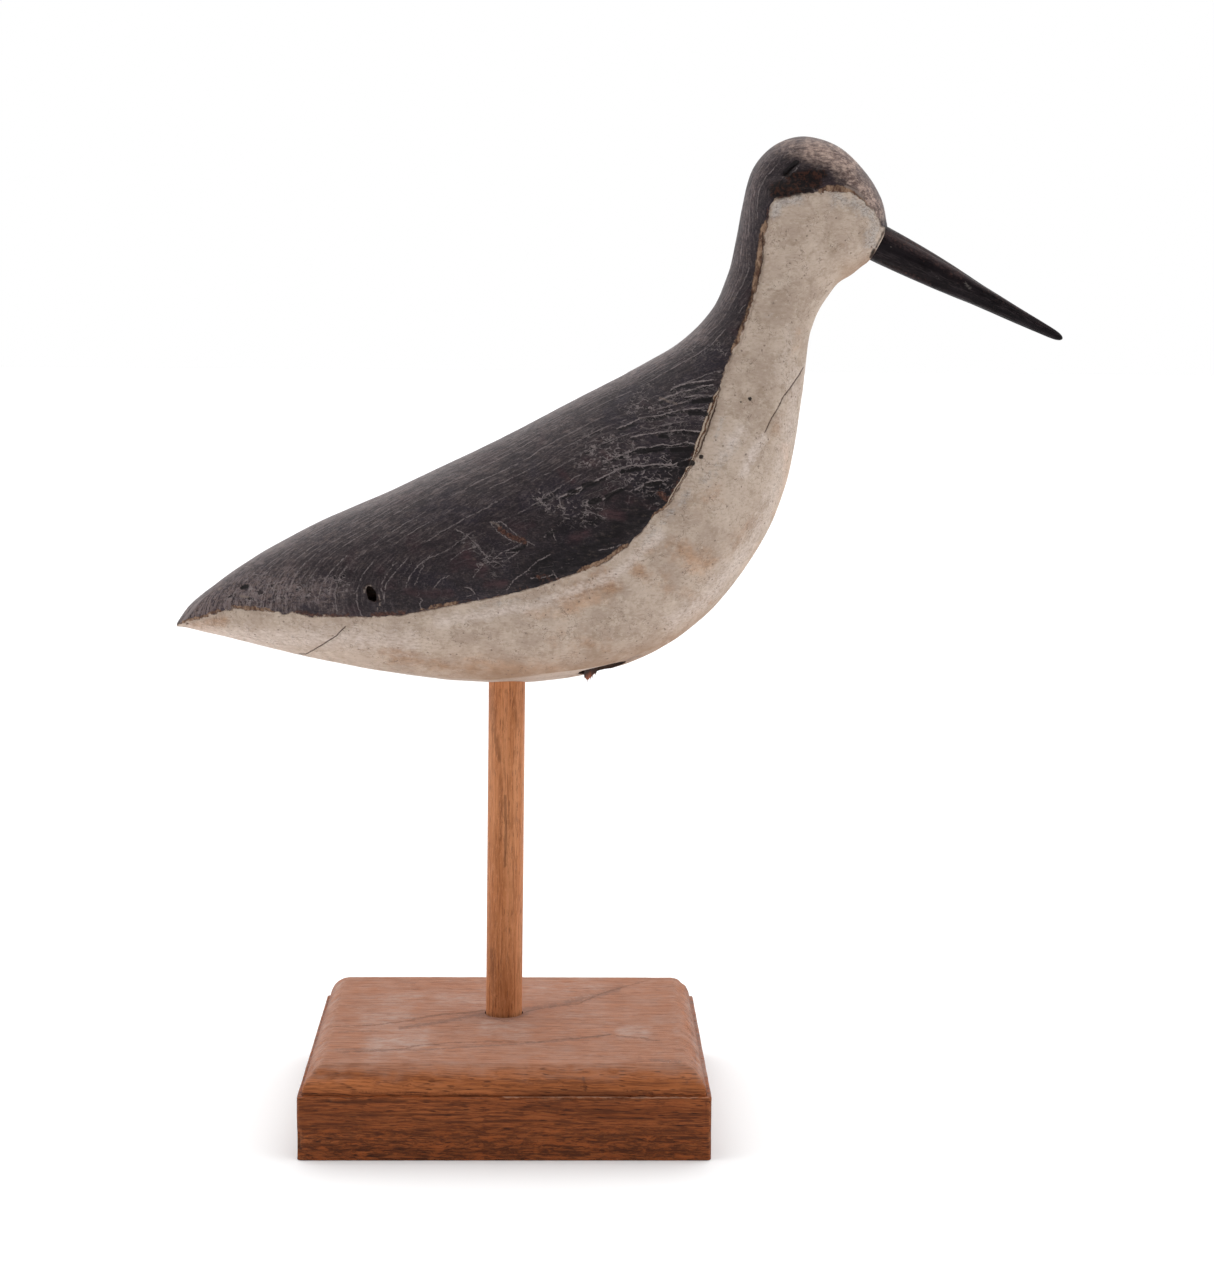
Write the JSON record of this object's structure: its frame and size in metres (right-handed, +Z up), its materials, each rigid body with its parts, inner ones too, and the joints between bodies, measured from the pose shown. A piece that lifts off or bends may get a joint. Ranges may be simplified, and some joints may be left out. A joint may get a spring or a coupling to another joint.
{
  "type": "shorebird decoy on stand",
  "caption": "Carved and painted wooden shorebird decoy with a long bill, held up by a round rod in a moulded wooden base.",
  "frame": {"origin": "middle of the base's flat underside", "axes": "+Z up, +X the way the bird looks, +Y to its left, away from the picture's viewer"},
  "size_m": [0.3015, 0.12, 0.3346],
  "materials": {
    "painted_wood": "old crackled paint, blue-black above and aged ivory below, worn to brown wood along the edges",
    "bill_paint": "worn satin dark brown-black paint",
    "stake_wood": "raw broken wood, reddish brown",
    "rod_wood": "smooth orange-brown wood with long pores",
    "base_wood": "reddish brown wood, dull, dusty on top"
  },
  "bodies": {
    "root": {"carved_bird": "painted_wood", "bill": "bill_paint", "old_stake_stub": "stake_wood", "rod": "rod_wood", "base": "base_wood"}
  },
  "joints": []
}
